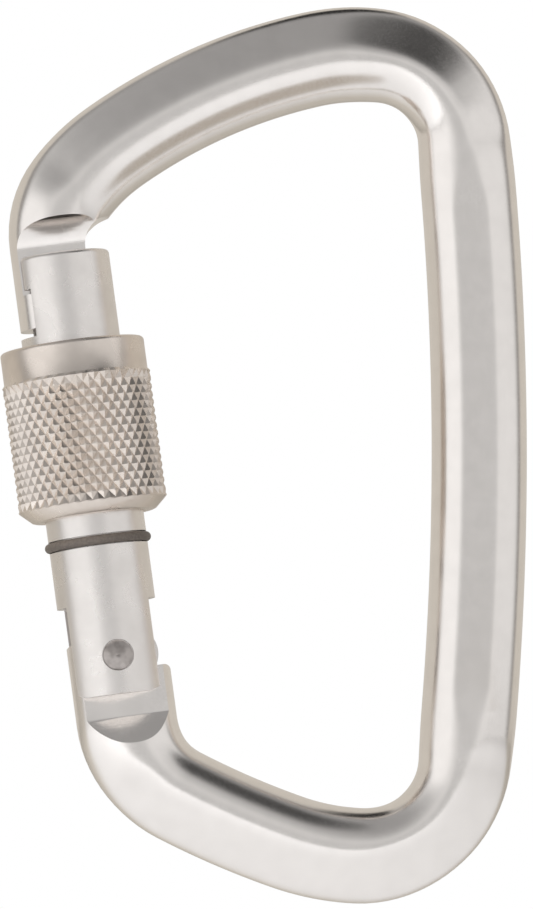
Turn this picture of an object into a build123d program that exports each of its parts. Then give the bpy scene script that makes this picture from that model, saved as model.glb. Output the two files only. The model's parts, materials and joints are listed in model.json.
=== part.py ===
from build123d import *
from math import acos, atan2, cos, degrees, hypot, pi, radians, sin, sqrt
import os

# Locking carabiner, as it hangs: +Z up along the long axis, +X from the gate towards the spine,
# +Y through the thickness.  The origin is the crown of the upper basket, the point on the inside
# of the bar where an anchor bears.  All sizes are in millimetres and all angles in degrees.

# ---------------------------------------------------------------- driving dimensions: the bar
bar_width = 11.6            # across the bar, in the plane of the ring
bar_thickness = 11.2        # through the bar, before its flats are pressed
corner_thinning = 0.3       # the bar stretches by this much on each side where it is bent tightest
hinge_width = 12.2          # the bar is upset to this width at the hinge
gate_tilt = 7.7             # the gate's axis leans this far from the long axis

crown_radius = 26.0         # centreline radii and turns, from the crown towards the spine
crown_turn = 5.4
top_corner_radius = 11.6
top_corner_turn = 79.2
spine_radius = 400.0
spine_turn = 10.9
bottom_corner_radius = 12.6
bottom_corner_turn = 87.1
lower_basket_radius = 30.0
lower_basket_turn = 16.7
lower_arm_radius = 104.0
lower_arm_turn = 7.9
hinge_corner_radius = 11.8
upper_basket_turn = 13.0    # and from the crown towards the nose
upper_arm_radius = 67.0
upper_arm_turn = 22.8
shoulder_radius = 23.8
shoulder_turn = 17.6

# ---------------------------------------------------------------- driving dimensions: the flats
arm_flat = 5.35             # height of the narrow flat band along the arms, from the mid-plane
panel_flat = 5.0            # height of the flat panel on each side of the spine
panel_reach = 30.0          # the panel keeps its full width this far from the spine's middle
panel_runout = 6.0          # and rises out of the bar over this length
facet_height = 4.75         # distance of the outer facet from the bar's centreline
facet_angle = 60.0          # direction that the outer facet faces, from the outward direction
facet_start = 36.0          # the facet starts this far from the spine's middle
facet_runin = 7.0
facet_end = 7.0             # and runs out over this length before the nose and the hinge

# ---------------------------------------------------------------- driving dimensions: the gate
barrel_radius = 6.0
hinge_to_bar = 7.9          # rivet to where the bar's last bend ends
hinge_inset = 0.35          # rivet's distance from the barrel's axis, towards the spine
tang_offset = 0.6           # centre of the hinge tang from the barrel's axis, towards the spine
tang_half = 3.2             # half the tang's thickness
slot_clearance = 0.1        # between the tang and each ear
slot_step = 6.6             # rivet to the end of the hinge slot
ear_drop = 4.6              # the ears reach this far below the rivet
ear_corner = 2.3
nose_gap = 1.5              # gate top to where the bar's last bend starts
barrel_top_edge = 0.5
gate_open_turn = 24.0

# ---------------------------------------------------------------- driving dimensions: the nose
nose_offset = -0.13         # centre of the nose from the barrel's axis
nose_neck_half = 2.8
nose_head_half = 3.8
nose_inner = 3.1            # inner face of the nose neck, from the barrel's axis
nose_head_inner = 2.0
nose_length = 8.75          # how deep the nose reaches into the gate
nose_head_length = 4.2
nose_side_clearance = 0.65  # neck to slot wall
head_side_clearance = 0.45  # head to its wider pocket
head_end_clearance = 0.6    # head to the gate's shoulder above it
nose_floor_gap = 1.0        # nose tip to the slot's floor
nose_back_clearance = 0.35
throat_radius = 3.45        # the bend's inside is milled away with this radius above the gate
scoop_radius = 4.0          # and its faces with this one

# ---------------------------------------------------------------- driving dimensions: the hinge
rivet_radius = 1.5
rivet_running_clearance = 0.05
rivet_head_radius = 1.8
rivet_head_depth = 0.9
rivet_recess_clearance = 0.12
rivet_dome = 0.2
cam_offset = 1.6            # centre of the tang's rounded end from the rivet, towards the spine
cam_radius = 3.4
cam_gap = 0.05              # plunger to tang
flat_drop = 7.35            # the tang's flats end this far below the rivet
flat_ramp_length = 3.6      # and ramp out to the full bar over this length
shoulder_drop = 1.7         # shoulder of the tang, below the rivet, on the spine's side
shoulder_round = 0.8

# ---------------------------------------------------------------- driving dimensions: the lock
sleeve_length = 21.1
sleeve_rest = 17.3          # rivet to the sleeve's lower end, part way up its thread
sleeve_bore_clearance = 0.1
collar_radius = 8.8
collar_length = 4.3
collar_round = 0.8
knurl_radius = 9.1
knurl_chamfer = 1.5
thread_lead = 2.5
thread_depth = 0.45
thread_width = 0.9          # at the root of the sleeve's thread
thread_clearance = 0.12
thread_runout = 0.4         # the barrel's groove goes this far past the sleeve's travel
sleeve_thread_start = 3.6   # from the sleeve's lower end
sleeve_thread_length = 2.8
sleeve_drop = 2.5           # travel down to the stop ring
sleeve_rise = 12.0          # travel up over the nose
ring_place = 14.1           # rivet to the stop ring's centre
ring_section_radius = 0.585
ring_groove_depth = 0.7
ring_seat_clearance = 0.03
ring_groove_width = 1.4

# ---------------------------------------------------------------- driving dimensions: the spring
plunger_radius = 2.5
plunger_bore_clearance = 0.1
plunger_length = 6.0
stem_radius = 1.25
stem_length = 13.0
bore_depth = 27.0           # rivet to the end of the spring's bore
spring_wire_radius = 0.3
spring_radius = 1.95        # of the coil's centreline
spring_turns = 11
spring_end_gap = 0.05

half_width = bar_width / 2
half_thickness = bar_thickness / 2
slot_half = tang_half + slot_clearance
big = 40.0                  # larger than any piece that it cuts


# ---------------------------------------------------------------- the bar's centreline
def blend(value, start, end):
    """0 before start, 1 after end, and a smooth step between them."""
    t = min(max((value - start) / (end - start), 0.0), 1.0)
    return t * t * (3 - 2 * t)


def arc_end(x, z, heading, radius, turn):
    """The end of an arc that turns left by a positive angle and right by a negative one."""
    side = 1 if turn > 0 else -1
    after = heading + turn
    x_end = x + side * radius * (sin(radians(after)) - sin(radians(heading)))
    z_end = z - side * radius * (cos(radians(after)) - cos(radians(heading)))
    return x_end, z_end, after


def walk(x, z, heading, arcs, spacing=3.2):
    """Places along a chain of tangent arcs: (x, z, heading, distance walked)."""
    places = []
    walked = 0.0
    for radius, turn in arcs:
        length = radius * abs(radians(turn))
        stride = spacing if radius < spine_radius else 1.5 * spacing
        steps = max(2, round(length / stride))
        for i in range(1, steps + 1):
            px, pz, ph = arc_end(x, z, heading, radius, turn * i / steps)
            places.append((px, pz, ph, walked + length * i / steps))
        x, z, heading = arc_end(x, z, heading, radius, turn)
        walked += length
    return places


to_spine = [
    (crown_radius, -crown_turn),
    (top_corner_radius, -top_corner_turn),
]
along_spine = [(spine_radius, -spine_turn)]
to_hinge = [
    (bottom_corner_radius, -bottom_corner_turn),
    (lower_basket_radius, -lower_basket_turn),
    (lower_arm_radius, -lower_arm_turn),
]
turned = sum(turn for radius, turn in to_spine + along_spine + to_hinge)
to_hinge.append((hinge_corner_radius, -(270 - gate_tilt) - turned))
spine_side = walk(0, half_width, 0, to_spine + along_spine + to_hinge)
hinge_x, hinge_z, hinge_heading, spine_side_length = spine_side[-1]
spine_middle = sum(r * abs(radians(t)) for r, t in to_spine) + spine_radius * radians(spine_turn) / 2

# The gate's own frame: origin on the barrel's axis beside the rivet, +Z up the barrel, +X towards
# the spine.  It follows from where the bar's last bend ends.
axis_x = -sin(radians(gate_tilt))
axis_z = cos(radians(gate_tilt))
gate_x = hinge_x + hinge_to_bar * axis_x - tang_offset * axis_z
gate_z = hinge_z + hinge_to_bar * axis_z + tang_offset * axis_x
gate_frame = Location((gate_x, 0, gate_z), (0, -gate_tilt, 0))


def in_gate(x, z):
    """A place in the ring's plane, seen in the gate's frame."""
    dx = x - gate_x
    dz = z - gate_z
    return dx * axis_z - dz * axis_x, dx * axis_x + dz * axis_z


# The bend over the nose gets the radius that lands it on the nose's centreline.
to_nose = [
    (crown_radius, upper_basket_turn),
    (upper_arm_radius, upper_arm_turn),
    (shoulder_radius, shoulder_turn),
]
bend_x, bend_z, bend_heading, _ = walk(0, half_width, 180, to_nose)[-1]
bend_turn = 270 + gate_tilt - bend_heading
bend_side, bend_height = in_gate(bend_x, bend_z)
bend_radius = (bend_side - nose_offset) / (1 - cos(radians(bend_turn)))
to_nose.append((bend_radius, bend_turn))
nose_side = walk(0, half_width, 180, to_nose)
nose_x, nose_z, nose_heading, nose_side_length = nose_side[-1]
gate_top = in_gate(nose_x, nose_z)[1] - nose_gap
nose_tip = gate_top - nose_length
print(f"bend over the nose: radius {bend_radius:.2f}; gate top {gate_top:.2f} above the rivet")


# ---------------------------------------------------------------- the bar's cross-section
def section(plane, middle, near_end, width_gain=0.0):
    """The bar's section.  middle is the distance from the spine's middle along the bar, and
    near_end the distance to the nearer end of it."""
    on_spine = 1 - blend(middle, panel_reach, panel_reach + panel_runout)
    thinning = corner_thinning * (blend(middle, 32, 43) - blend(middle, 47, 58))
    width = half_width - thinning + width_gain
    thickness = half_thickness - 0.3 * on_spine
    squareness = 2.2 + 0.4 * on_spine
    flat = arm_flat - (arm_flat - panel_flat) * on_spine
    facet_on = blend(middle, facet_start, facet_start + facet_runin) * blend(near_end, 2, 2 + facet_end)
    facet = facet_height + (half_width + 0.6 - facet_height) * (1 - facet_on)
    edge_sharpness = 24
    steps = 18
    front = []
    for i in range(steps + 1):
        angle = pi * i / steps
        c = cos(angle)
        s = sin(angle)
        oval = (abs(c / width) ** squareness + abs(s / thickness) ** squareness) ** (-1 / squareness)
        total = oval ** -edge_sharpness
        total += (max(s, 1e-6) / flat) ** edge_sharpness
        total += (max(cos(angle - radians(facet_angle)), 1e-6) / facet) ** edge_sharpness
        radius = total ** (-1 / edge_sharpness)
        front.append((radius * c, radius * s))
    back = [(x, -y) for x, y in reversed(front)]
    halves = [
        Spline(front, tangents=[(0, 1), (0, -1)]),
        Spline(back, tangents=[(0, -1), (0, 1)]),
    ]
    return plane * make_face(halves)


def station(x, z, heading):
    """The section's plane: local X points out of the ring, local Z along the bar."""
    along = (cos(radians(heading)), 0, sin(radians(heading)))
    outward = (-sin(radians(heading)), 0, cos(radians(heading)))
    return Plane(origin=(x, 0, z), x_dir=outward, z_dir=along)


def nose_section():
    """The bar's section where its last bend meets the straight nose."""
    return section(station(nose_x, nose_z, 90 + gate_tilt), nose_side_length + spine_middle, 0)


def make_bar():
    """The bar from the straight nose's top round to the top of the hinge tang."""
    sections = [nose_section()]
    for x, z, heading, walked in reversed(nose_side[:-1]):
        near_end = nose_side_length - walked
        sections.append(section(station(x, z, heading - 180), walked + spine_middle, near_end))
    sections.append(section(station(0, half_width, 0), spine_middle, nose_side_length))
    upset = hinge_width / 2 - half_width
    for x, z, heading, walked in spine_side:
        near_end = spine_side_length - walked
        gain = upset * (1 - blend(near_end, 0, 9))
        sections.append(section(station(x, z, heading), abs(walked - spine_middle), near_end, gain))
    above = hinge_to_bar + slot_step
    for i in range(1, 4):
        x = hinge_x + axis_x * above * i / 3
        z = hinge_z + axis_z * above * i / 3
        middle = spine_side_length - spine_middle
        sections.append(section(station(x, z, hinge_heading), middle, 0, upset))
    return loft(sections)


def in_plane(outline, thickness=big):
    """A slab from an outline drawn in the gate's frame, X across and Z up."""
    return extrude(Plane.XZ * outline, amount=thickness / 2, both=True)


def block(x0, x1, y0, y1, z0, z1):
    """A box between two corners."""
    return Pos((x0 + x1) / 2, (y0 + y1) / 2, (z0 + z1) / 2) * Box(x1 - x0, y1 - y0, z1 - z0)


def across(x, z, radius, length=big):
    """A cylinder whose axis runs through the thickness."""
    return Pos(x, 0, z) * Rot(90, 0, 0) * Cylinder(radius, length)


def nose_cutters():
    """What is milled off the bar around the nose, in the gate's frame."""
    reach = big / 2
    head_top = nose_tip + nose_head_length
    below = nose_tip - reach
    scoop_z = gate_top + 0.7
    throat_z = gate_top + 0.4
    throat_side = nose_inner + 2 * throat_radius
    inside = make_face([
        Polyline((nose_head_inner, below), (nose_head_inner, head_top), (nose_inner, head_top),
                 (nose_inner, throat_z)),
        ThreePointArc((nose_inner, throat_z), (nose_inner + throat_radius, throat_z + throat_radius),
                      (throat_side, throat_z)),
        Polyline((throat_side, throat_z), (throat_side, below), (nose_head_inner, below)),
    ])
    scoop_top = (nose_neck_half + scoop_radius, scoop_z + scoop_radius)
    scoop_middle = (nose_neck_half + scoop_radius * (1 - sqrt(0.5)), scoop_z + scoop_radius * sqrt(0.5))
    side = make_face([
        Polyline((nose_head_half, below), (nose_head_half, head_top), (nose_neck_half, head_top),
                 (nose_neck_half, scoop_z)),
        ThreePointArc((nose_neck_half, scoop_z), scoop_middle, scoop_top),
        Polyline(scoop_top, (reach, scoop_top[1]), (reach, below), (nose_head_half, below)),
    ])
    slab = extrude(Plane.YZ * side, amount=big / 2, both=True)
    return [in_plane(inside), slab, mirror(slab, about=Plane.XZ)]


def tang_outline():
    """Outline of the hinge tang in the gate's frame, from below the rivet up."""
    left = tang_offset - hinge_width / 2
    right = tang_offset + hinge_width / 2
    foot = -big / 2
    cam_x = hinge_inset + cam_offset
    corner_x = left + 1.0
    corner_z = 2.2
    # the long top edge is tangent to the cam's circle
    reach = hypot(cam_x - corner_x, corner_z)
    touch_angle = atan2(corner_z, corner_x - cam_x) - acos(cam_radius / reach)
    touch = (cam_x + cam_radius * cos(touch_angle), cam_radius * sin(touch_angle))
    shoulder_x = cam_x + sqrt(cam_radius ** 2 - shoulder_drop ** 2)
    shoulder_angle = atan2(-shoulder_drop, shoulder_x - cam_x)
    inner = right - shoulder_round
    outline = [
        Polyline((left - 1, foot), (left - 1, corner_z - 1.4), (corner_x - 0.8, corner_z - 0.35),
                 (corner_x, corner_z), touch),
        CenterArc((cam_x, 0), cam_radius, degrees(touch_angle), degrees(shoulder_angle - touch_angle)),
        Line((shoulder_x, -shoulder_drop), (inner, -shoulder_drop)),
        ThreePointArc((inner, -shoulder_drop),
                      (inner + 0.7 * shoulder_round, -shoulder_drop - 0.3 * shoulder_round),
                      (right, -shoulder_drop - shoulder_round)),
        Polyline((right, -shoulder_drop - shoulder_round), (right + 1, -shoulder_drop - shoulder_round),
                 (right + 1, foot), (left - 1, foot)),
    ]
    return make_face(outline)


def hinge_cutters():
    """What is milled off the bar to leave the hinge tang, in the gate's frame."""
    reach = big / 2
    above = in_plane(Pos(0, 3) * Rectangle(big / 2, 20))
    cutters = [above - in_plane(tang_outline())]
    ramp_top = arm_flat + 0.6
    for side in (-1, 1):
        ramp = make_face([
            Polyline((tang_half, reach), (tang_half, -flat_drop)),
            ThreePointArc((tang_half, -flat_drop),
                          ((tang_half + ramp_top) / 2 - 0.25, -flat_drop - flat_ramp_length / 2 - 0.25),
                          (ramp_top, -flat_drop - flat_ramp_length)),
            Polyline((ramp_top, -flat_drop - flat_ramp_length), (reach, -flat_drop - flat_ramp_length),
                     (reach, reach), (tang_half, reach)),
        ])
        slab = extrude(Plane.YZ * ramp, amount=big / 2, both=True)
        cutters.append(slab if side > 0 else mirror(slab, about=Plane.XZ))
    cutters.append(across(hinge_inset, 0, rivet_radius + rivet_running_clearance))
    return cutters


def make_frame():
    """Forged body: one bar with its nose and its hinge tang milled at the ends."""
    reach = big / 2
    near_nose = gate_frame * block(-reach, reach, -reach, reach, nose_tip - 5, gate_top + 12)
    near_hinge = gate_frame * block(-reach, reach, -reach, reach, -reach / 2, nose_tip - 5)
    at_nose = [gate_frame * cutter & near_nose for cutter in nose_cutters()]
    at_hinge = [gate_frame * cutter & near_hinge for cutter in hinge_cutters()]
    bar = make_bar() - at_nose - at_hinge
    nose = extrude(nose_section(), amount=nose_tip - gate_top - nose_gap) - at_nose
    return bar + nose


# ---------------------------------------------------------------- the gate's pieces
def thread_ridge(root_radius, depth, width, start, length):
    """A helical tooth, width wide at root_radius and depth deep towards the barrel's axis."""
    path = Pos(0, 0, start) * Helix(pitch=thread_lead, height=length, radius=root_radius)
    flank = 0.25 * depth
    over = 0.3
    tooth = Polyline((over, -width / 2), (-depth, -width / 2 + flank),
                     (-depth, width / 2 - flank), (over, width / 2), close=True)
    plane = Plane(origin=path @ 0, x_dir=(1, 0, 0), z_dir=path % 0)
    return sweep(plane * make_face(tooth), path=path, is_frenet=True)


def make_gate_barrel():
    """The gate: a barrel forked at both ends, bored for its spring and threaded for the sleeve."""
    reach = big / 2
    barrel = extrude(Circle(barrel_radius), amount=gate_top + ear_drop)
    barrel = Pos(0, 0, -ear_drop) * barrel
    side = Pos(0, (gate_top - ear_drop) / 2) * Rectangle(2 * barrel_radius, gate_top + ear_drop)
    side = fillet(side.vertices().sort_by(Axis.Y)[:2], ear_corner)
    barrel = barrel & in_plane(side)
    top_edge = barrel.edges().filter_by(GeomType.CIRCLE).sort_by(Axis.Z)[-1]
    barrel = fillet(top_edge, barrel_top_edge)
    pocket = nose_head_half + head_side_clearance
    mouth = nose_neck_half + nose_side_clearance
    pocket_top = nose_tip + nose_head_length + head_end_clearance
    floor = nose_tip - nose_floor_gap
    back = nose_inner + nose_back_clearance
    head_back = nose_head_inner + nose_back_clearance
    recess_radius = rivet_head_radius + rivet_recess_clearance
    recess_floor = barrel_radius - rivet_head_depth - rivet_dome
    groove_bottom = barrel_radius - ring_groove_depth
    groove = Circle(reach) - Circle(groove_bottom)
    cutters = [
        block(-reach, back, -mouth, mouth, pocket_top - 1, gate_top + reach),
        block(-reach, head_back, -pocket, pocket, floor, pocket_top),
        block(-reach, reach, -slot_half, slot_half, -reach, slot_step),
        Pos(0, 0, bore_depth / 2) * Cylinder(plunger_radius + plunger_bore_clearance, bore_depth),
        across(hinge_inset, 0, rivet_radius),
        Pos(0, recess_floor + reach / 2, 0) * across(hinge_inset, 0, recess_radius, reach),
        Pos(0, -recess_floor - reach / 2, 0) * across(hinge_inset, 0, recess_radius, reach),
        extrude(Plane.XY.offset(ring_place - ring_groove_width / 2) * groove, amount=ring_groove_width),
    ]
    barrel = barrel - cutters
    groove_width = thread_width + 2 * thread_clearance
    # the groove lies on the same helix as the sleeve's thread, and covers all of its travel
    below = sleeve_drop + thread_runout
    thread = thread_ridge(barrel_radius, thread_depth + thread_clearance, groove_width,
                          sleeve_rest + sleeve_thread_start - below,
                          sleeve_thread_length + below + sleeve_rise + thread_runout)
    return barrel - Rot(0, 0, -360 * below / thread_lead) * thread


def make_sleeve():
    """The locking sleeve: a collar over a knurled grip, with a short thread inside."""
    low = sleeve_rest
    high = sleeve_rest + sleeve_length
    bore = barrel_radius + sleeve_bore_clearance
    knurl_top = high - collar_length
    half = make_face(Polyline((bore, low), (knurl_radius - knurl_chamfer, low),
                              (knurl_radius, low + knurl_chamfer), (knurl_radius, knurl_top),
                              (collar_radius, knurl_top + knurl_radius - collar_radius),
                              (collar_radius, high), (bore, high), close=True))
    top_corner = half.vertices().sort_by(Axis.Y)[-2:].sort_by(Axis.X)[-1]
    half = fillet(top_corner, collar_round)
    sleeve = revolve(Plane.XZ * half, Axis.Z)
    thread = thread_ridge(bore, thread_depth + sleeve_bore_clearance, thread_width,
                          low + sleeve_thread_start, sleeve_thread_length)
    return sleeve + thread


def make_stop_ring():
    """The rubber ring that cushions the sleeve at the bottom of its travel."""
    centre = barrel_radius - ring_groove_depth + ring_seat_clearance + ring_section_radius
    return revolve(Plane.XZ * (Pos(centre, ring_place) * Circle(ring_section_radius)), Axis.Z)


def make_rivet():
    """The hinge rivet, its two ends peened into the ears' recesses."""
    neck = barrel_radius - rivet_head_depth - rivet_dome
    shoulder = barrel_radius - 2 * rivet_dome
    crown = barrel_radius - 0.5 * rivet_dome
    dome_radius = (rivet_head_radius ** 2 + (crown - shoulder) ** 2) / (2 * (crown - shoulder))
    middle_x = rivet_head_radius / 2
    middle_y = crown - dome_radius + sqrt(dome_radius ** 2 - middle_x ** 2)
    outline = make_face([
        ThreePointArc((0, crown), (middle_x, middle_y), (rivet_head_radius, shoulder)),
        Polyline((rivet_head_radius, shoulder), (rivet_head_radius, neck), (rivet_radius, neck),
                 (rivet_radius, -neck), (rivet_head_radius, -neck), (rivet_head_radius, -shoulder)),
        ThreePointArc((rivet_head_radius, -shoulder), (middle_x, -middle_y), (0, -crown)),
        Line((0, -crown), (0, crown)),
    ])
    return Pos(hinge_inset, 0, 0) * revolve(outline, Axis.Y)


def make_plunger():
    """The plunger that rides on the tang, with the stem that guides the spring."""
    foot = cam_radius + cam_gap
    head = Pos(0, 0, foot + plunger_length / 2) * Cylinder(plunger_radius, plunger_length)
    head = fillet(head.edges().sort_by(Axis.Z)[0], 0.2)
    stem = Pos(0, 0, foot + plunger_length + stem_length / 2) * Cylinder(stem_radius, stem_length)
    return head + stem


def make_spring():
    """The gate spring, between the plunger's head and the end of the bore."""
    low = cam_radius + cam_gap + plunger_length + spring_end_gap + spring_wire_radius
    high = bore_depth - spring_end_gap - spring_wire_radius
    path = Pos(0, 0, low) * Helix(pitch=(high - low) / spring_turns, height=high - low, radius=spring_radius)
    wire = Plane(origin=path @ 0, z_dir=path % 0) * Circle(spring_wire_radius)
    return sweep(wire, path=path, is_frenet=True)


gate_pieces = {
    "gate_barrel": make_gate_barrel,
    "locking_sleeve": make_sleeve,
    "stop_ring": make_stop_ring,
    "hinge_rivet": make_rivet,
    "spring_plunger": make_plunger,
    "gate_spring": make_spring,
}

if __name__ == "__main__":
    os.makedirs("parts", exist_ok=True)
    for name, make in gate_pieces.items():
        export_step(gate_frame * make(), f"parts/{name}.step")
    export_step(make_frame(), "parts/body.step")
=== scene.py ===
# %% [markdown]
# # A locking carabiner
# A climber's carabiner is a forged aluminium ring with a sprung gate. A knurled sleeve screws up the
# gate and over the nose, so the gate can't open by itself. The engineering model already holds every
# real size and every moving body. This lesson loads it as a fixed frame and gives it its looks.

# %% The frame
import json
from math import acos, atan2, cos, degrees, hypot, pi, radians, sin, sqrt

import bmesh
import bpy
from mathutils import Matrix, Vector

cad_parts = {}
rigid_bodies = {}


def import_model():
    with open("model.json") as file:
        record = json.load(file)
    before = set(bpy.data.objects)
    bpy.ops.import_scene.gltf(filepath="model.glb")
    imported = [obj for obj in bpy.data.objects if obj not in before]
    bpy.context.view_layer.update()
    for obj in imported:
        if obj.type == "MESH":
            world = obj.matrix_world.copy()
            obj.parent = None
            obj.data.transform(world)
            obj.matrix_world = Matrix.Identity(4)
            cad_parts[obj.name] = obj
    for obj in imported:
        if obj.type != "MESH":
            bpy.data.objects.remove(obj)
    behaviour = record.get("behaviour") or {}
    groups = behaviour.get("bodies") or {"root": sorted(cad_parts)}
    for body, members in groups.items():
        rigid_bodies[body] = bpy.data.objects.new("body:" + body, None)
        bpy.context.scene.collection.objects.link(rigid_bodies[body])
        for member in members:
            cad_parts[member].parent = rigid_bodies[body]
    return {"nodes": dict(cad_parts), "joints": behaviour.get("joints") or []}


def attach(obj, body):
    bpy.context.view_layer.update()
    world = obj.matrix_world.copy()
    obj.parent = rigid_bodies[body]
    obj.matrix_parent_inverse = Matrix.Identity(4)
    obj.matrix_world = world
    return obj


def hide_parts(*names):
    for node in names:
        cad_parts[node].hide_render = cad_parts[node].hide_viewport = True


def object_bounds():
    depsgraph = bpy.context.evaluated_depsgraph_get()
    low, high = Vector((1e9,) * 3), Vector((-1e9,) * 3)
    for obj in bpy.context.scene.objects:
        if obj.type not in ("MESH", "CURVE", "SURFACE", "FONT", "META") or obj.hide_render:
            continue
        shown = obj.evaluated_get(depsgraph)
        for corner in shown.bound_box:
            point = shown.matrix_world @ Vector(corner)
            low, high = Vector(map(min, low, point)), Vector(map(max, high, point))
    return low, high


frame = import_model()
cad_low, cad_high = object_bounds()
MM = 0.001
print("CAD box in mm:", [round((b - a) / MM, 2) for a, b in zip(cad_low, cad_high)])

# %% [markdown]
# The gate leans from the ring's long axis, so its pieces are modelled upright and then laid along it.
# The joints say where the barrel's axis is: the sleeve turns about it, and the hinge's pin crosses it.

# %% The gate's own axes
joints = {joint["name"]: joint for joint in frame["joints"]}
gate_axis = Vector(joints["sleeve_turn"]["axis"]).normalized()
hinge_pin = Vector(joints["gate_hinge"]["pos_m"])
axis_point = Vector(joints["sleeve_turn"]["pos_m"])
gate_origin = axis_point + gate_axis * (hinge_pin - axis_point).dot(gate_axis)
gate_side = Vector((0, 1, 0)).cross(gate_axis)
gate_place = Matrix((gate_side, (0, 1, 0), gate_axis)).transposed().to_4x4()
gate_place.translation = gate_origin
gate_tilt = degrees(atan2(-gate_axis.x, gate_axis.z))


def along_gate(name):
    """Lowest and highest place of a CAD node along the barrel, and its largest radius, in mm."""
    to_gate = gate_place.inverted()
    places = [to_gate @ v.co / MM for v in frame["nodes"][name].data.vertices]
    return min(p.z for p in places), max(p.z for p in places), max(hypot(p.x, p.y) for p in places)


_, gate_top, _ = along_gate("gate_barrel")
sleeve_low, sleeve_high, knurl_radius = along_gate("locking_sleeve")
print(f"gate leans {gate_tilt:.2f} degrees and ends {gate_top:.2f} mm above its hinge")

# %% [markdown]
# ## Finishes
# Each finish is a small tree of shader nodes. One function adds a node, sets its values and links its
# inputs, which keeps a whole material readable. Colours are the hex values a painter would pick on
# screen, so they are turned to linear light first.

# %% Colour and node helpers


def linear(code):
    """A screen colour such as #c8c8c8 as linear red, green, blue and alpha."""
    parts = [int(code[i:i + 2], 16) / 255 for i in (1, 3, 5)]
    return [c / 12.92 if c <= 0.04045 else ((c + 0.055) / 1.055) ** 2.4 for c in parts] + [1.0]


def add(tree, kind, inputs=None, **settings):
    """Adds a node; an input's value is a number or colour, or another node's output to link from."""
    made = tree.nodes.new(kind)
    for name, value in settings.items():
        setattr(made, name, value)
    for name, value in (inputs or {}).items():
        if isinstance(value, bpy.types.NodeSocket):
            tree.links.new(value, made.inputs[name])
        else:
            made.inputs[name].default_value = value
    return made


def finish(name):
    """An empty material with its node tree and the object's own coordinates in mm; close adds its output."""
    material = bpy.data.materials.new(name)
    material.use_nodes = True
    tree = material.node_tree
    tree.nodes.clear()
    place = add(tree, "ShaderNodeTexCoord").outputs["Object"]
    place = add(tree, "ShaderNodeVectorMath", {0: place, 3: 1 / MM}, operation="SCALE").outputs[0]
    return material, tree, place


def close(tree, shader):
    add(tree, "ShaderNodeOutputMaterial", {"Surface": shader.outputs[0]})


def noise(tree, place, size, detail=2.0, stretch=None):
    """Noise with features about size mm across, stretched along an axis if asked."""
    if stretch:
        place = add(tree, "ShaderNodeMapping", {0: place, "Scale": stretch}).outputs[0]
    return add(tree, "ShaderNodeTexNoise", {"Vector": place, "Scale": 1 / size, "Detail": detail}).outputs[0]


def remap(tree, value, low, high, to_low, to_high):
    return add(tree, "ShaderNodeMapRange", {0: value, 1: low, 2: high, 3: to_low, 4: to_high}).outputs[0]


# %% [markdown]
# ### Polished forged aluminium
# The ring is hot-forged, tumbled and polished. Tumbling leaves a slightly soft mirror: reflections
# have blurred edges, and there are fine scratches and shallow dents about a millimetre across. The
# dents are a weak bump, and the scratches are a second one from noise stretched thin.

# %% Polished forged aluminium


def polished_forged_aluminium():
    material, tree, place = finish("polished forged aluminium")
    waves = noise(tree, place, 2.4, 1.0)
    grain = noise(tree, place, 0.22, 3.0)
    scratch = noise(tree, place, 0.35, 2.0, (0.12, 1.0, 1.0))
    rough = remap(tree, grain, 0.3, 0.7, 0.14, 0.24)
    tint = add(tree, "ShaderNodeMix", {0: remap(tree, waves, 0.3, 0.7, 0, 1), 6: linear("#f6f1ed"),
                                       7: linear("#f2ede9")}, data_type="RGBA").outputs[2]
    dents = add(tree, "ShaderNodeBump", {"Height": waves, "Strength": 0.05, "Distance": 0.1 * MM}).outputs[0]
    fine = add(tree, "ShaderNodeBump", {"Height": scratch, "Strength": 0.06, "Distance": 0.02 * MM,
                                        "Normal": dents}).outputs[0]
    close(tree, add(tree, "ShaderNodeBsdfPrincipled", {"Base Color": tint, "Metallic": 1.0,
                                                       "Roughness": rough, "Normal": fine}))
    return material


# %% [markdown]
# ### Satin aluminium, and the warmer knurled sleeve
# The barrel is turned and lightly blasted, so it blurs what it reflects into soft upright bands. The
# sleeve is anodised in a warmer grey and its knurl is rougher, because the rolling tool tears it a bit.

# %% Satin and knurled aluminium


def satin_turned_aluminium(name, light, dark, smooth, rough, metallic=1.0):
    material, tree, place = finish(name)
    cloud = noise(tree, place, 3.0, 2.0)
    grain = noise(tree, place, 0.5, 2.0)
    tint = add(tree, "ShaderNodeMix", {0: remap(tree, cloud, 0.35, 0.65, 0, 1), 6: linear(light),
                                       7: linear(dark)}, data_type="RGBA").outputs[2]
    bump = add(tree, "ShaderNodeBump", {"Height": grain, "Strength": 0.04, "Distance": 0.02 * MM}).outputs[0]
    close(tree, add(tree, "ShaderNodeBsdfPrincipled", {
        "Base Color": tint, "Metallic": metallic, "Roughness": remap(tree, cloud, 0.3, 0.7, smooth, rough),
        "Normal": bump}))
    return material


# %% [markdown]
# ### Rivet steel, spring wire and rubber
# The rivet is stainless steel, peened over, so its head is pinkish grey and dimpled. The stop ring is
# moulded nitrile rubber, brown-black with a dull skin.

# %% Rivet steel, spring wire and rubber


def peened_stainless():
    material, tree, place = finish("peened stainless steel")
    blow = noise(tree, place, 0.9, 1.0)
    bump = add(tree, "ShaderNodeBump", {"Height": blow, "Strength": 0.5, "Distance": 0.12 * MM}).outputs[0]
    tint = add(tree, "ShaderNodeMix", {0: remap(tree, blow, 0.35, 0.65, 0, 1), 6: linear("#bdb6b2"),
                                       7: linear("#a39c98")}, data_type="RGBA").outputs[2]
    close(tree, add(tree, "ShaderNodeBsdfPrincipled", {"Base Color": tint, "Metallic": 1.0,
                                                       "Roughness": 0.34, "Normal": bump}))
    return material


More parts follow.
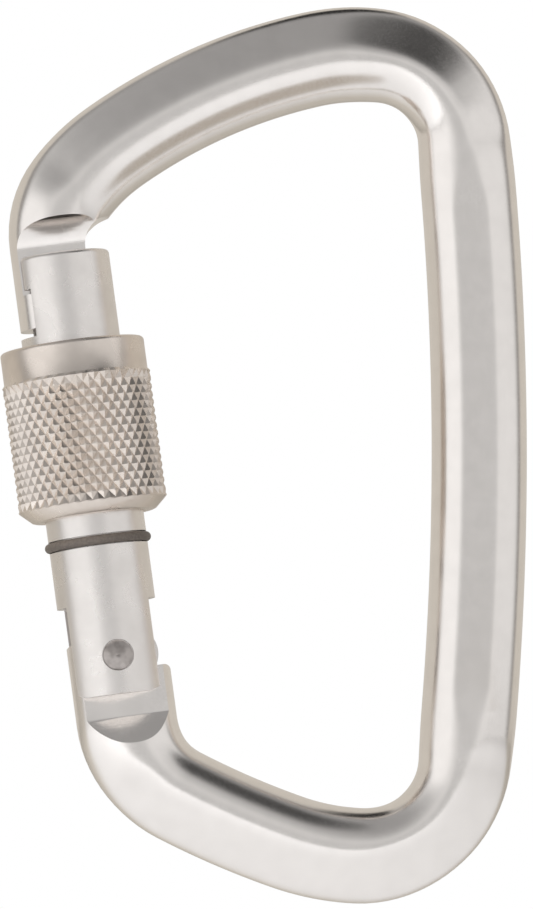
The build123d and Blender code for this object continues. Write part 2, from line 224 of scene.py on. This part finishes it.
def drawn_spring_steel():
    material, tree, place = finish("drawn spring steel")
    grain = noise(tree, place, 0.2)
    close(tree, add(tree, "ShaderNodeBsdfPrincipled", {
        "Base Color": linear("#b9b7b5"), "Metallic": 1.0,
        "Roughness": remap(tree, grain, 0.3, 0.7, 0.2, 0.35)}))
    return material


def moulded_nitrile_rubber():
    material, tree, place = finish("moulded nitrile rubber")
    skin = noise(tree, place, 0.3)
    bump = add(tree, "ShaderNodeBump", {"Height": skin, "Strength": 0.15, "Distance": 0.03 * MM}).outputs[0]
    tint = add(tree, "ShaderNodeMix", {0: remap(tree, skin, 0.3, 0.7, 0, 1), 6: linear("#6a6159"),
                                       7: linear("#554d47")}, data_type="RGBA").outputs[2]
    close(tree, add(tree, "ShaderNodeBsdfPrincipled", {"Base Color": tint, "Roughness": 0.5,
                                                       "IOR": 1.52, "Normal": bump}))
    return material


polished = polished_forged_aluminium()
satin = satin_turned_aluminium("satin turned aluminium", "#f1ece8", "#ebe6e2", 0.26, 0.31)
knurled = satin_turned_aluminium("knurled anodised aluminium", "#ebe1d8", "#e1d7ce", 0.26, 0.32)
stainless = peened_stainless()
spring_steel = drawn_spring_steel()
turned_steel = satin_turned_aluminium("turned steel", "#b4b2b0", "#a8a6a4", 0.2, 0.3)
rubber = moulded_nitrile_rubber()

# %% [markdown]
# ## The ring's bar
# The bar is a rod that was bent and then pressed between dies. It could be a curve with a bevel
# object, but its section changes as it goes: flat panels along the spine, a narrow facet round the
# outside of the arms. So a ring of points is extruded from place to place along a chain of arcs, and
# each ring is shaped by one formula. The numbers are the same as the engineering model's, in mm.

# %% Sizes of the bar
BAR_WIDTH = 11.6
BAR_THICKNESS = 10.56
HINGE_WIDTH = 12.2
CROWN_RADIUS = 26.0
SPINE_RADIUS = 400.0
TO_SPINE = [(CROWN_RADIUS, -5.4), (11.6, -79.2)]
ALONG_SPINE = [(SPINE_RADIUS, -10.9)]
TO_HINGE = [(12.6, -87.1), (30.0, -16.7), (104.0, -7.9)]
HINGE_CORNER_RADIUS = 11.8
TO_NOSE = [(CROWN_RADIUS, 13.0), (67.0, 22.8), (23.8, 17.6)]
HINGE_TO_BAR = 7.9
TANG_OFFSET = 0.6
NOSE_OFFSET = -0.13
NOSE_GAP = 1.5
NOSE_LENGTH = 8.75
SLOT_STEP = 6.6
HINGE_UPSET_LENGTH = 9.0
TANG_RINGS = 14

OVAL_POWER = 2.2
ARM_THINNING = 0.3
PANEL_FLAT = 4.94
PANEL_REACH = 29.6
PANEL_RUNOUT = 6.2
FACET_HEIGHT = 4.85
BEND_FACET = 0.4
FACET_ANGLE = 60.0
FACET_START = 35.2
FACET_RUNIN = 3.6
FACET_STOP = 4.0
FACET_END = 4.0
FACET_CLEAR = 0.4
PANEL_CLEAR = 0.15
FACET_SHARPNESS = 16
EDGE_SHARPNESS = 60
POINTS_AROUND = 144
RING_SPACING = 0.9


# %% The chain of arcs


def arc_end(x, z, heading, radius, turn):
    """The end of an arc that turns left by a positive angle and right by a negative one."""
    side = 1 if turn > 0 else -1
    after = heading + turn
    return (x + side * radius * (sin(radians(after)) - sin(radians(heading))),
            z - side * radius * (cos(radians(after)) - cos(radians(heading))), after)


def walk(x, z, heading, arcs):
    """Places along a chain of tangent arcs: (x, z, heading, distance walked)."""
    places = []
    walked = 0.0
    for radius, turn in arcs:
        length = radius * abs(radians(turn))
        steps = max(2, round(length / RING_SPACING))
        for i in range(1, steps + 1):
            places.append((*arc_end(x, z, heading, radius, turn * i / steps), walked + length * i / steps))
        x, z, heading = arc_end(x, z, heading, radius, turn)
        walked += length
    return places


half_width = BAR_WIDTH / 2
half_thickness = BAR_THICKNESS / 2
turned = sum(turn for radius, turn in TO_SPINE + ALONG_SPINE + TO_HINGE)
spine_side = walk(0, half_width, 0, TO_SPINE + ALONG_SPINE + TO_HINGE
                  + [(HINGE_CORNER_RADIUS, gate_tilt - 270 - turned)])
spine_side_length = spine_side[-1][3]
spine_middle = (sum(radius * abs(radians(turn)) for radius, turn in TO_SPINE)
                + SPINE_RADIUS * radians(-ALONG_SPINE[0][1]) / 2)
bend_x, bend_z, bend_heading, _ = walk(0, half_width, 180, TO_NOSE)[-1]
bend_turn = 270 + gate_tilt - bend_heading
bend_side = (Vector((bend_x, 0, bend_z)) - gate_origin / MM).dot(gate_side)
bend_radius = (bend_side - NOSE_OFFSET) / (1 - cos(radians(bend_turn)))
nose_side = walk(0, half_width, 180, TO_NOSE + [(bend_radius, bend_turn)])
nose_side_length = nose_side[-1][3]
nose_tip = gate_top - NOSE_LENGTH
print(f"the bend over the nose has a radius of {bend_radius:.2f} mm")

# %% [markdown]
# The section is an oval with flats pressed into it. Taking the nearest of several outlines gives hard
# edges. A high power mean of them does the same and leaves each edge a small radius, as a die does.

# %% The bar's section


def smooth_step(value, start, end):
    t = min(max((value - start) / (end - start), 0.0), 1.0)
    return t * t * (3 - 2 * t)


def section_radius(angle, middle, near_end, gain):
    """Distance from the bar's centre to its skin. middle is the way from the spine's middle."""
    thinning = ARM_THINNING * (smooth_step(middle, 32, 43) - smooth_step(middle, 47, 58))
    width = half_width - thinning + gain
    c = cos(angle)
    s = abs(sin(angle))
    oval = (abs(c / width) ** OVAL_POWER + (s / half_thickness) ** OVAL_POWER) ** (-1 / OVAL_POWER)
    pressed = (smooth_step(middle, FACET_START, FACET_START + FACET_RUNIN)
               * smooth_step(near_end, FACET_STOP, FACET_STOP + FACET_END))
    deepest = FACET_HEIGHT - BEND_FACET * (smooth_step(middle, 38, 44) - smooth_step(middle, 52, 60))
    facet = deepest + (half_thickness + FACET_CLEAR - deepest) * (1 - pressed)
    toward_facet = max(c * cos(radians(FACET_ANGLE)) + s * sin(radians(FACET_ANGLE)), 1e-6)
    soft = (oval ** -FACET_SHARPNESS
            + (toward_facet / facet) ** FACET_SHARPNESS) ** (-1 / FACET_SHARPNESS)
    run_out = min(max((middle - PANEL_REACH) / PANEL_RUNOUT, 0.0), 1.0)
    panel = PANEL_FLAT + (half_thickness + PANEL_CLEAR - PANEL_FLAT) * run_out
    return (soft ** -EDGE_SHARPNESS + (max(s, 1e-6) / panel) ** EDGE_SHARPNESS) ** (-1 / EDGE_SHARPNESS)


# %% Rings of points along the bar


def bar_rings():
    """Every ring's centre, outward direction and section, from the nose's tip to the hinge."""
    rings = []

    def ring(x, z, heading, middle, near_end, gain=0.0):
        outward = Vector((-sin(radians(heading)), 0, cos(radians(heading))))
        rings.append((Vector((x, 0, z)), outward, middle, near_end, gain))

    nose_x, nose_z, _, _ = nose_side[-1]
    straight = NOSE_LENGTH + NOSE_GAP
    for below in (straight, straight / 2):
        ring(nose_x - gate_axis.x * below, nose_z - gate_axis.z * below, 90 + gate_tilt,
             nose_side_length + spine_middle, 0)
    for x, z, heading, walked in reversed(nose_side):
        ring(x, z, heading - 180, walked + spine_middle, nose_side_length - walked)
    ring(0, half_width, 0, spine_middle, nose_side_length)
    upset = HINGE_WIDTH / 2 - half_width
    for x, z, heading, walked in spine_side:
        near_end = spine_side_length - walked
        gain = upset * (1 - smooth_step(near_end, 0, HINGE_UPSET_LENGTH))
        ring(x, z, heading, abs(walked - spine_middle), near_end, gain)
    hinge_x, hinge_z, hinge_heading, _ = spine_side[-1]
    above = HINGE_TO_BAR + SLOT_STEP
    for i in range(1, TANG_RINGS + 1):
        ring(hinge_x + gate_axis.x * above * i / TANG_RINGS, hinge_z + gate_axis.z * above * i / TANG_RINGS,
             hinge_heading, spine_side_length - spine_middle, 0, upset)
    return rings


def bar_mesh():
    """Extrudes a ring of points through every place, then closes both ends."""
    bm = bmesh.new()
    around = bm.verts.layers.int.new("around")
    verts = bmesh.ops.create_circle(bm, segments=POINTS_AROUND, radius=MM)["verts"]
    for i, v in enumerate(verts):
        v[around] = i
    edges = list(bm.edges)
    for i, (centre, outward, middle, near_end, gain) in enumerate(bar_rings()):
        if i:
            made = bmesh.ops.extrude_edge_only(bm, edges=edges)["geom"]
            verts = [item for item in made if isinstance(item, bmesh.types.BMVert)]
            fresh = set(verts)
            edges = [item for item in made if isinstance(item, bmesh.types.BMEdge)
                     and item.verts[0] in fresh and item.verts[1] in fresh]
        for v in verts:
            angle = 2 * pi * v[around] / POINTS_AROUND
            reach = section_radius(angle, middle, near_end, gain)
            v.co = (centre + outward * reach * cos(angle) + Vector((0, reach * sin(angle), 0))) * MM
    bmesh.ops.holes_fill(bm, edges=[e for e in bm.edges if e.is_boundary], sides=POINTS_AROUND)
    bmesh.ops.recalc_face_normals(bm, faces=bm.faces)
    return bm


# %% [markdown]
# The nose and the hinge tang are milled from the same bar. Milling is taking a shape away, so each
# cutter is a mesh too, and the Boolean modifier subtracts them one after another.

# %% Cutters, drawn in the gate's own axes
BIG = 40.0


def object_from(bm, name, material=None):
    mesh = bpy.data.meshes.new(name)
    bm.to_mesh(mesh)
    bm.free()
    made = bpy.data.objects.new(name, mesh)
    bpy.context.scene.collection.objects.link(made)
    if material:
        mesh.materials.append(material)
    return made


def arc(centre_x, centre_z, radius, start, end, steps=24):
    """Points of an arc, its angles in degrees, for an outline."""
    turns = [radians(start + (end - start) * i / steps) for i in range(steps + 1)]
    return [(centre_x + radius * cos(a), centre_z + radius * sin(a)) for a in turns]


def cutter(outline, low, high, through_thickness=True):
    """A slab: the outline is in the ring's plane, or else in the plane across it."""
    bm = bmesh.new()
    if through_thickness:
        verts = [bm.verts.new((x, low, z)) for x, z in outline]
        step = Vector((0, high - low, 0))
    else:
        verts = [bm.verts.new((low, y, z)) for y, z in outline]
        step = Vector((high - low, 0, 0))
    face = bm.faces.new(verts)
    pushed = bmesh.ops.extrude_face_region(bm, geom=[face])["geom"]
    bmesh.ops.translate(bm, vec=step, verts=[v for v in pushed if isinstance(v, bmesh.types.BMVert)])
    bmesh.ops.recalc_face_normals(bm, faces=bm.faces)
    bmesh.ops.transform(bm, matrix=gate_place @ Matrix.Scale(MM, 4), verts=bm.verts)
    return object_from(bm, "cutter")


def cut(target, cutters):
    """Subtracts the cutters from the target's mesh and removes them."""
    for tool in cutters:
        modifier = target.modifiers.new("cut", "BOOLEAN")
        modifier.operation = "DIFFERENCE"
        modifier.solver = "EXACT"
        modifier.object = tool
    result = target.evaluated_get(bpy.context.evaluated_depsgraph_get())
    mesh = bpy.data.meshes.new_from_object(result)
    target.modifiers.clear()
    target.data = mesh
    for tool in cutters:
        bpy.data.objects.remove(tool)


def shade(target, angle=32):
    """Smooth shading, with edges sharper than the angle kept hard."""
    mesh = target.data
    bm = bmesh.new()
    bm.from_mesh(mesh)
    bmesh.ops.remove_doubles(bm, verts=bm.verts, dist=0.002 * MM)
    for face in bm.faces:
        face.smooth = True
    for edge in bm.edges:
        edge.smooth = len(edge.link_faces) == 2 and edge.calc_face_angle(0) < radians(angle)
    bm.to_mesh(mesh)
    bm.free()


# %% The nose's cutters
NOSE_NECK_HALF = 2.8
NOSE_HEAD_HALF = 3.8
NOSE_INNER = 3.1
NOSE_HEAD_INNER = 2.0
NOSE_HEAD_LENGTH = 4.2
THROAT_RADIUS = 3.45
SCOOP_RADIUS = 4.0


def nose_cutters():
    head_top = nose_tip + NOSE_HEAD_LENGTH
    below = nose_tip - 1
    throat_z = gate_top + 0.4
    scoop_z = gate_top + 0.7
    throat_side = NOSE_INNER + 2 * THROAT_RADIUS
    inside = [(NOSE_HEAD_INNER, below), (NOSE_HEAD_INNER, head_top), (NOSE_INNER, head_top)]
    inside += arc(NOSE_INNER + THROAT_RADIUS, throat_z, THROAT_RADIUS, 180, 0)
    inside += [(throat_side, below)]
    tools = [cutter(inside, -BIG / 2, BIG / 2)]
    for side in (1, -1):
        flank = [(NOSE_HEAD_HALF, below), (NOSE_HEAD_HALF, head_top), (NOSE_NECK_HALF, head_top)]
        flank += arc(NOSE_NECK_HALF + SCOOP_RADIUS, scoop_z, SCOOP_RADIUS, 180, 90)
        flank += [(8.5, scoop_z + SCOOP_RADIUS), (8.5, below)]
        tools.append(cutter([(side * y, z) for y, z in flank], -8.5, 12, False))
    return tools


# %% The hinge tang's cutters
HINGE_INSET = 0.35
TANG_HALF = 3.2
CAM_OFFSET = 1.6
CAM_RADIUS = 3.4
FLAT_DROP = 7.35
FLAT_RAMP_LENGTH = 4.3
RAMP_HOLLOW = 0.12
SHOULDER_DROP = 1.7
SHOULDER_ROUND = 0.8
RIVET_HOLE_RADIUS = 1.55


def hinge_cutters():
    left = TANG_OFFSET - HINGE_WIDTH / 2
    right = TANG_OFFSET + HINGE_WIDTH / 2
    cam_x = HINGE_INSET + CAM_OFFSET
    corner_x = left + 1.0
    corner_z = 2.2
    top = SLOT_STEP + 2
    reach = hypot(cam_x - corner_x, corner_z)
    touch = atan2(corner_z, corner_x - cam_x) - acos(CAM_RADIUS / reach)
    shoulder_x = cam_x + sqrt(CAM_RADIUS ** 2 - SHOULDER_DROP ** 2)
    shoulder = atan2(-SHOULDER_DROP, shoulder_x - cam_x)
    inner = right - SHOULDER_ROUND
    outline = [(left - 1, top), (left - 1, corner_z - 1.4), (corner_x - 0.8, corner_z - 0.35),
               (corner_x, corner_z)]
    outline += arc(cam_x, 0, CAM_RADIUS, degrees(touch), degrees(shoulder), 32)
    outline += arc(inner, -SHOULDER_DROP - SHOULDER_ROUND, SHOULDER_ROUND, 90, 0, 8)
    outline += [(right + 1, -SHOULDER_DROP - SHOULDER_ROUND), (right + 1, top)]
    tools = [cutter(outline, -BIG / 2, BIG / 2)]
    ramp_top = half_thickness + 0.65
    ramp_low = -FLAT_DROP - FLAT_RAMP_LENGTH
    for side in (1, -1):
        # the ramp is an arc that leaves the flat at a crisp line and meets the bar's own skin
        ramp = [(TANG_HALF, top), (TANG_HALF, -FLAT_DROP)]
        for i in range(1, 13):
            t = i / 12
            hollow = 4 * RAMP_HOLLOW * t * (1 - t)
            ramp.append((TANG_HALF + (ramp_top - TANG_HALF) * t - hollow, -FLAT_DROP - FLAT_RAMP_LENGTH * t))
        ramp += [(8.5, ramp_low), (8.5, top)]
        tools.append(cutter([(side * y, z) for y, z in ramp], -9, 11, False))
    pin = arc(HINGE_INSET, 0, RIVET_HOLE_RADIUS, 0, 360 * 47 / 48, 47)
    tools.append(cutter(pin, -BIG / 2, BIG / 2))
    return tools


body = object_from(bar_mesh(), "forged_body", polished)
cut(body, nose_cutters() + hinge_cutters())
shade(body)
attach(body, "body")
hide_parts("body")
print("forged body:", len(body.data.polygons), "faces")

# %% [markdown]
# ## The knurled sleeve
# A knurl is two sets of grooves that cross, rolled in by two wheels. Between the grooves stand small
# pyramids. Real grooves as geometry catch the light at the edge of the shape as well as in the middle,
# which a bump can't. The sleeve's outline is spun round its axis with two steps for each pyramid, and
# then every other point of the knurl sinks to the bottom of a groove, like the squares of a chessboard.

# %% The sleeve
COLLAR_RADIUS = 8.8
COLLAR_LENGTH = 4.3
COLLAR_ROUND = 0.5
KNURL_CHAMFER = 1.5
KNURL_DEPTH = 0.46
PYRAMIDS_AROUND = 39
KNURL_ROWS = 16
KNURL_TIP = 0.16
END_ROW_DEPTH = 0.35
BORE_RADIUS = 6.1


def knurled_sleeve():
    knurl_low = sleeve_low + KNURL_CHAMFER
    knurl_high = sleeve_high - COLLAR_LENGTH
    row = (knurl_high - knurl_low) / KNURL_ROWS
    rows = [(knurl_radius, knurl_low + row * i) for i in range(KNURL_ROWS + 1)]
    chamfer_start = knurl_radius - KNURL_CHAMFER
    outline = [(BORE_RADIUS, sleeve_low), (BORE_RADIUS + 0.3, sleeve_low)]
    outline += [(chamfer_start - 0.35, sleeve_low), (chamfer_start, sleeve_low + 0.12)]
    outline += [(knurl_radius - 0.12, knurl_low - 0.12)] + rows
    outline += [(COLLAR_RADIUS, knurl_high + 0.35)]
    outline += arc(COLLAR_RADIUS - COLLAR_ROUND, sleeve_high - COLLAR_ROUND, COLLAR_ROUND, 0, 90, 8)
    outline += [(BORE_RADIUS + 0.25, sleeve_high), (BORE_RADIUS, sleeve_high - 0.25)]
    bm = bmesh.new()
    level = bm.verts.layers.int.new("level")
    verts = [bm.verts.new((x, 0, z)) for x, z in outline]
    for i, v in enumerate(verts):
        v[level] = i
    edges = [bm.edges.new(pair) for pair in zip(verts, verts[1:])]
    edges.append(bm.edges.new((verts[-1], verts[0])))
    bmesh.ops.spin(bm, geom=verts + edges, axis=(0, 0, 1), cent=(0, 0, 0), angle=2 * pi,
                   steps=2 * PYRAMIDS_AROUND, use_merge=True)
    bmesh.ops.remove_doubles(bm, verts=bm.verts, dist=0.001)
    bmesh.ops.recalc_face_normals(bm, faces=bm.faces)
    first = outline.index(rows[0])
    last = first + KNURL_ROWS
    peaks = []
    for v in bm.verts:
        if first <= v[level] <= last:
            column = round(atan2(v.co.y, v.co.x) / (pi / PYRAMIDS_AROUND))
            if (column + v[level] - first) % 2:
                peaks.append(v)
                continue
            depth = KNURL_DEPTH * (END_ROW_DEPTH if v[level] in (first, last) else 1.0)
            shrink = (knurl_radius - depth) / knurl_radius
            v.co.x *= shrink
            v.co.y *= shrink
    sunk = {v for v in bm.verts if first <= v[level] <= last} - set(peaks)
    for face in list(bm.faces):
        if all(first <= v[level] <= last for v in face.verts):
            low = [v for v in face.verts if v in sunk]
            if len(low) == 2:
                bmesh.utils.face_split(face, low[0], low[1])
    inner_peaks = [v for v in peaks if first < v[level] < last]
    bmesh.ops.bevel(bm, geom=inner_peaks, offset=KNURL_TIP, segments=1, affect="VERTICES",
                    profile=0.5, material=-1)
    for face in bm.faces:
        face.smooth = all(not first <= v[level] <= last for v in face.verts)
    bmesh.ops.transform(bm, matrix=gate_place @ Matrix.Scale(MM, 4), verts=bm.verts)
    return bm


sleeve = object_from(knurled_sleeve(), "knurled_sleeve", knurled)
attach(sleeve, "sleeve")
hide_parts("locking_sleeve")
print("locking sleeve:", len(sleeve.data.polygons), "faces")

# %% [markdown]
# ## Pieces whose shape is right already
# The barrel, rivet, ring, plunger and spring are right in the engineering model, and its normals come
# from the true surfaces. They keep their meshes, and only their plain grey is swapped for a finish.

# %% Finishes for the engineering model's own meshes


def dress(node, material):
    mesh = frame["nodes"][node].data
    mesh.materials.clear()
    mesh.materials.append(material)


dress("gate_barrel", satin)
dress("hinge_rivet", stainless)
dress("stop_ring", rubber)
dress("spring_plunger", turned_steel)
dress("gate_spring", spring_steel)

# %% [markdown]
# ## Studio
# Polished metal shows the room, not itself. A product photographer puts it in a white tent with a few
# dark cards, which draw thin dark lines along its edges. The world does the same: a pale grey room
# with soft bright and dark cards placed by direction. The floor is pale and well below, with painted
# shade that darkens its colour towards the back, and one soft grey board, a flag, greys what the upper
# arm's underside sees. The camera doesn't see the board.

# %% The room
FLOOR_DROP = 0.075
FLAG_X = 28.0
FLAG_Y = -52.0
FLAG_Z = -75.0
FLAG_HALF_WIDTH = 36.0
FLAG_HALF_LENGTH = 48.0
floor_z = cad_low.z - FLOOR_DROP


def room():
    world = bpy.data.worlds.new("white tent")
    bpy.context.scene.world = world
    world.use_nodes = True
    tree = world.node_tree
    tree.nodes.clear()
    way = add(tree, "ShaderNodeTexCoord").outputs["Generated"]

    def card(direction, inner, outer, tone, under):
        """Blends a soft round card of the tone over what is under it; angles in degrees."""
        aim = Vector(direction).normalized()
        facing = add(tree, "ShaderNodeVectorMath", {0: way, 1: aim}, operation="DOT_PRODUCT").outputs["Value"]
        share = add(tree, "ShaderNodeMapRange", {0: facing, 1: cos(radians(outer)), 2: cos(radians(inner))},
                    interpolation_type="SMOOTHSTEP").outputs[0]
        return add(tree, "ShaderNodeMix", {0: share, 6: under, 7: tone}, data_type="RGBA").outputs[2]

    def tone(level, warmth=0.0):
        return (level * (1 + warmth), level, level * (1 - warmth), 1.0)

    behind = (0.62, 0.585, 0.53, 1.0)
    colour = card((0, -1, 0), 96, 106, tone(0.30, 0.03), behind)
    colour = card((0, -1, 0), 76, 90, tone(0.78), colour)
    colour = card((-0.85, -0.53, 0.0), 20, 36, tone(0.98), colour)
    colour = card((0.85, -0.53, 0.0), 20, 36, tone(0.8), colour)
    colour = card((0, -0.94, -0.34), 10, 34, tone(0.86), colour)
    colour = card((-0.05, -0.42, 0.9), 6, 58, tone(0.33), colour)
    colour = card((0.42, -0.42, 0.80), 4, 26, tone(0.06), colour)
    colour = card((0, 0.24, 0.97), 9, 20, tone(0.02), colour)
    colour = card((0, -1, -0.02), 6, 26, tone(0.57), colour)
    lit = add(tree, "ShaderNodeBackground", {"Color": colour, "Strength": 1.0})
    white = add(tree, "ShaderNodeBackground", {"Color": (1, 1, 1, 1), "Strength": 1.0})
    seen = add(tree, "ShaderNodeLightPath").outputs["Is Camera Ray"]
    mixed = add(tree, "ShaderNodeMixShader", {0: seen, 1: lit.outputs[0], 2: white.outputs[0]})
    add(tree, "ShaderNodeOutputWorld", {"Surface": mixed.outputs[0]})


def pale_floor():
    bm = bmesh.new()
    bmesh.ops.create_grid(bm, x_segments=8, y_segments=8, size=1.5)
    bmesh.ops.translate(bm, vec=(0, 0, floor_z), verts=bm.verts)
    material, tree, place = finish("backdrop paper with painted falloff")
    depth = add(tree, "ShaderNodeSeparateXYZ", {0: place}).outputs["Y"]
    # painted shade: the paper goes from bluish white at the front to warm grey 160 mm behind, standing in for
    # the key light falling off towards the back
    tint = add(tree, "ShaderNodeMix", {0: remap(tree, depth, 0, 160, 0, 1), 6: linear("#f6f8fb"),
                                       7: linear("#d9d5cd")}, data_type="RGBA").outputs[2]
    close(tree, add(tree, "ShaderNodeBsdfPrincipled", {"Base Color": tint, "Roughness": 0.9}))
    floor = object_from(bm, "paper floor", material)


def grey_flag():
    """A soft-edged grey board in front of the eye, which shows only in metal that looks down on it."""
    bm = bmesh.new()
    bmesh.ops.create_grid(bm, x_segments=1, y_segments=1, size=FLAG_HALF_LENGTH * MM)
    bmesh.ops.translate(bm, vec=(FLAG_X * MM, FLAG_Y * MM, FLAG_Z * MM), verts=bm.verts)
    material, tree, place = finish("grey flag board")
    offset = add(tree, "ShaderNodeVectorMath", {0: place, 1: (FLAG_X, FLAG_Y, FLAG_Z)}, operation="SUBTRACT")
    scaled = add(tree, "ShaderNodeVectorMath", {0: offset.outputs[0],
                                                1: (1 / FLAG_HALF_WIDTH, 1 / FLAG_HALF_LENGTH, 0)},
                 operation="MULTIPLY")
    away = add(tree, "ShaderNodeVectorMath", {0: scaled.outputs[0]}, operation="LENGTH").outputs["Value"]
    share = add(tree, "ShaderNodeMapRange", {0: away, 1: 1.0, 2: 0.5}, interpolation_type="SMOOTHSTEP")
    under = add(tree, "ShaderNodeNewGeometry").outputs["Backfacing"]
    above = add(tree, "ShaderNodeMath", {0: 1.0, 1: under}, operation="SUBTRACT").outputs[0]
    share = add(tree, "ShaderNodeMath", {0: share.outputs[0], 1: above}, operation="MULTIPLY")
    grey = add(tree, "ShaderNodeEmission", {"Color": (0.45, 0.41, 0.365, 1.0), "Strength": 1.0})
    clear = add(tree, "ShaderNodeBsdfTransparent")
    close(tree, add(tree, "ShaderNodeMixShader", {0: share.outputs[0], 1: clear.outputs[0],
                                                  2: grey.outputs[0]}))
    flag = object_from(bm, "grey flag", material)
    flag.visible_camera = False
    flag.visible_diffuse = False
    flag.visible_shadow = False


def light(name, size, power, place, aim):
    """A round lamp that lights the floor but doesn't show as a hard disc in the metal."""
    lamp = bpy.data.lights.new(name, "AREA")
    lamp.shape = "DISK"
    lamp.size = size
    lamp.energy = power
    made = bpy.data.objects.new(name, lamp)
    made.visible_glossy = False
    made.location = place
    made.rotation_euler = (Vector(aim) - Vector(place)).to_track_quat("-Z", "Y").to_euler()
    bpy.context.scene.collection.objects.link(made)
    return made


room()
pale_floor()
grey_flag()
centre = (cad_low + cad_high) / 2
light("soft key", 1.0, 11.5, centre + Vector((-0.5, -0.7, 0.7)), centre)

# %% [markdown]
# ## Camera
# A long lens from a little below the middle, turned slightly to the gate's side. A long lens keeps
# the two arms of the ring the same thickness.

# %% The camera
VIEW_AZIMUTH = -3.5
VIEW_ELEVATION = -4.5
FRAME_HEIGHT = 0.1107
LENS = 300.0
SENSOR = 36.0
aim = Vector((-11.32, 0, -43.34)) * MM
distance = FRAME_HEIGHT / SENSOR * LENS
a = radians(VIEW_AZIMUTH)
e = radians(VIEW_ELEVATION)
back = Vector((sin(a) * cos(e), -cos(a) * cos(e), sin(e)))
camera_data = bpy.data.cameras.new("camera")
camera_data.lens = LENS
camera_data.sensor_width = SENSOR
camera_data.clip_start = 0.01
camera_data.clip_end = 10
camera = bpy.data.objects.new("camera", camera_data)
camera.location = aim + back * distance
camera.rotation_euler = (-back).to_track_quat("-Z", "Y").to_euler()
bpy.context.scene.collection.objects.link(camera)
bpy.context.scene.camera = camera
bpy.context.scene.view_settings.view_transform = "Standard"
